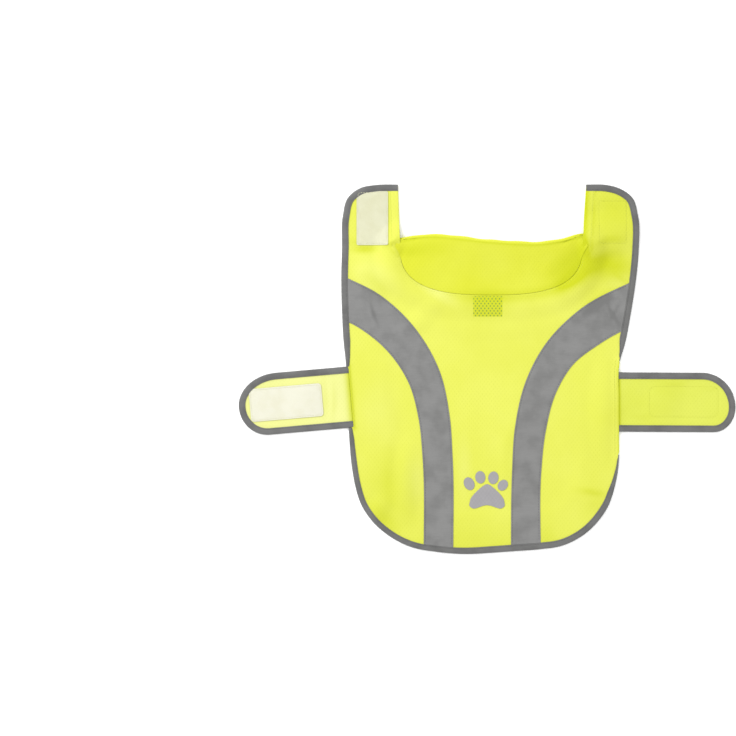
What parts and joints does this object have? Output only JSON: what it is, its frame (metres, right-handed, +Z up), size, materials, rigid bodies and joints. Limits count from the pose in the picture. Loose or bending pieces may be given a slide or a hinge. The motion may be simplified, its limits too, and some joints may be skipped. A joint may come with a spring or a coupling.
{
  "type": "dog safety vest",
  "caption": "Reflective mesh safety vest for a dog, laid out flat: back with chest flaps, stand collar, curved reflective stripes, bound edges and hook-and-loop belly straps.",
  "frame": {"origin": "middle of the laid-out vest's outline, on the surface it lies on", "axes": "+X to the dog's right along the belly straps, +Y along the back towards the head, +Z up from the surface through the outer side"},
  "size_m": [0.5958, 0.4435, 0.014],
  "materials": {
    "mesh_fabric": "fluorescent yellow air mesh, matte with a soft sheen",
    "reflective_binding": "dark grey reflective tape, satin",
    "reflective_tape": "grey retro-reflective tape, fine glass-bead satin",
    "reflective_film": "light grey reflective film, satin",
    "hook_tape": "cream nylon hooks on a woven ground",
    "loop_tape": "yellow brushed loop pile",
    "label_weave": "plain woven label, blank",
    "thread": "polyester sewing thread"
  },
  "bodies": {
    "root": {"back_panel": "mesh_fabric", "collar": "mesh_fabric", "left_strap": "mesh_fabric", "right_strap": "mesh_fabric", "left_side_binding": "reflective_binding", "right_side_binding": "reflective_binding", "hem_binding": "reflective_binding", "left_strap_binding": "reflective_binding", "right_strap_binding": "reflective_binding", "left_stripe": "reflective_tape", "right_stripe": "reflective_tape", "paw_pad": "reflective_film", "paw_toe_1": "reflective_film", "paw_toe_2": "reflective_film", "paw_toe_3": "reflective_film", "paw_toe_4": "reflective_film", "left_flap_hook": "hook_tape", "left_strap_hook": "hook_tape", "right_flap_loop": "loop_tape", "right_strap_loop": "loop_tape", "neck_label": "label_weave"}
  },
  "joints": []
}
